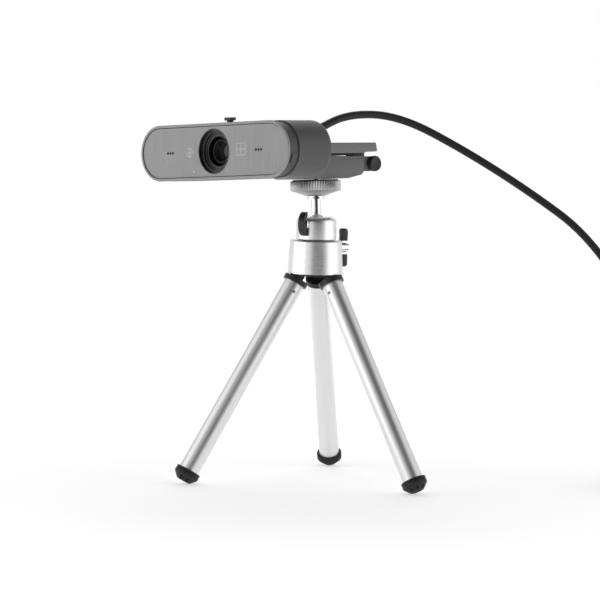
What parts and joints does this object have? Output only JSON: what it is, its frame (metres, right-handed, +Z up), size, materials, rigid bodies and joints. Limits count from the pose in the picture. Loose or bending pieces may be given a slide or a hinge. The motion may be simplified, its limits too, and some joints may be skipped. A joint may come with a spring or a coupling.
{
  "type": "webcam on a mini tripod",
  "caption": "Bar-shaped webcam with a folding clip, screwed to a small folding tripod with a ball head, with a privacy slider and a cable ending in a plug.",
  "frame": {"origin": "on the floor, under the middle of the standing object's box, without the cable", "axes": "+Z up, the webcam looks along -Y, its bar runs along X"},
  "size_m": [0.2145, 0.2365, 0.1898],
  "materials": {
    "hub_metal": "satin turned",
    "hub_plastic": "moulded",
    "steel": "turned",
    "leg_metal": "satin drawn tube",
    "rubber": "matt",
    "chrome": "polished",
    "disc_metal": "knurled",
    "wing_plastic": "moulded",
    "clip_plastic": "satin",
    "insert_brass": "turned",
    "shell_plastic": "satin",
    "trim_plastic": "satin",
    "face_plastic": "fine woven mesh",
    "lens_black": "matt",
    "lens_glass": "coated",
    "chip": "bare die",
    "board": "solder resist",
    "mic_metal": "pressed",
    "cable_skin": "satin",
    "plug_metal": "nickel"
  },
  "bodies": {
    "hub": {"hub_housing": "hub_metal", "hub_spider": "hub_plastic", "hinge_pins": "steel", "hub_screws": "steel"},
    "leg_1": {"leg1_knuckle": "hub_plastic", "leg1_tube": "leg_metal", "leg1_rivet": "steel", "leg1_foot": "rubber"},
    "leg_2": {"leg2_knuckle": "hub_plastic", "leg2_tube": "leg_metal", "leg2_rivet": "steel", "leg2_foot": "rubber"},
    "leg_3": {"leg3_knuckle": "hub_plastic", "leg3_tube": "leg_metal", "leg3_rivet": "steel", "leg3_foot": "rubber"},
    "socket": {"socket_body": "hub_metal", "pan_spindle": "steel"},
    "pan_lock": {"pan_lock_screw": "chrome", "pan_lock_wing": "wing_plastic"},
    "ball_lock": {"ball_lock_screw": "chrome", "ball_lock_wing": "wing_plastic"},
    "ball_seat": {"ball_shoe": "hub_plastic"},
    "ball": {"ball_stem": "chrome"},
    "thumb_disc": {"thumb_disc": "disc_metal", "disc_pad": "rubber"},
    "clip_foot": {"clip_block": "clip_plastic", "block_insert": "insert_brass", "rear_pin": "steel", "pin_caps": "rubber"},
    "clip_arm": {"clip_arm": "clip_plastic", "arm_pad": "rubber", "tilt_pin": "steel"},
    "webcam": {"cam_housing": "shell_plastic", "trim_band": "trim_plastic", "side_tab": "trim_plastic", "cam_bezel": "trim_plastic", "face_panel": "face_plastic", "lens_ring": "lens_black", "lens_barrel": "lens_black", "front_glass": "lens_glass", "lens_holder": "lens_black", "ir_filter": "lens_glass", "image_sensor": "chip", "sensor_board": "board", "main_board": "board", "board_screws": "steel", "mic_capsules": "mic_metal", "light_pipe": "lens_glass", "tilt_bracket": "clip_plastic", "cable_gland": "cable_skin", "usb_cable": "cable_skin", "cable_coil": "cable_skin", "cable_tail": "cable_skin", "plug_grip": "cable_skin", "plug_shell": "plug_metal"},
    "privacy_slider": {"shutter_blade": "lens_black", "slider_lever": "lens_black"}
  },
  "joints": [
    {"name": "leg_1_fold", "type": "hinge", "parent": "hub", "child": "leg_1", "pos_m": [-0.00029, 0.0062, 0.1075], "axis": [-0.1253, 0.9921, 0], "range_deg": [0, 29.4]},
    {"name": "leg_2_fold", "type": "hinge", "parent": "hub", "child": "leg_2", "pos_m": [-0.01258, 0.01137, 0.1075], "axis": [-0.7965, -0.6046, 0], "range_deg": [0, 29.4]},
    {"name": "leg_3_fold", "type": "hinge", "parent": "hub", "child": "leg_3", "pos_m": [-0.01091, -0.00186, 0.1075], "axis": [0.9219, -0.3875, 0], "range_deg": [0, 29.4]},
    {"name": "head_pan", "type": "hinge", "parent": "hub", "child": "socket", "pos_m": [-0.00793, 0.00523, 0.13135], "axis": [0, 0, 1], "continuous": true},
    {"name": "pan_lock_turn", "type": "hinge", "parent": "hub", "child": "pan_lock", "pos_m": [-0.00574, 0.01906, 0.1194], "axis": [0.1564, 0.9877, 0], "continuous": true},
    {"name": "ball_lock_turn", "type": "hinge", "parent": "socket", "child": "ball_lock", "pos_m": [-0.00568, -0.00451, 0.13195], "axis": [0.225, -0.9744, 0], "continuous": true},
    {"name": "head_roll", "type": "hinge", "parent": "socket", "child": "ball_seat", "pos_m": [-0.00793, 0.00523, 0.13135], "axis": [0, 1, 0], "range_deg": [-14, 22]},
    {"name": "head_pitch", "type": "hinge", "parent": "ball_seat", "child": "ball", "pos_m": [-0.00793, 0.00523, 0.13135], "axis": [0.9976, 0, 0.0698], "range_deg": [-18, 18]},
    {"name": "disc_spin", "type": "hinge", "parent": "ball", "child": "thumb_disc", "pos_m": [-0.00919, 0.00523, 0.14941], "axis": [-0.0698, 0, 0.9976], "continuous": true},
    {"name": "webcam_swivel", "type": "hinge", "parent": "ball", "child": "clip_foot", "pos_m": [-0.00982, 0.00523, 0.15838], "axis": [-0.0698, 0, 0.9976], "continuous": true},
    {"name": "clip_open", "type": "hinge", "parent": "clip_foot", "child": "clip_arm", "pos_m": [-0.01006, 0.03843, 0.16178], "axis": [-0.9976, 0, -0.0698], "range_deg": [0, 95]},
    {"name": "webcam_tilt", "type": "hinge", "parent": "clip_arm", "child": "webcam", "pos_m": [-0.01062, -0.02817, 0.16981], "axis": [-0.9976, 0, -0.0698], "range_deg": [-20, 30]},
    {"name": "privacy_slide", "type": "slide", "parent": "webcam", "child": "privacy_slider", "axis": [-0.9976, 0, -0.0698], "range_m": [0, 0.015]}
  ]
}
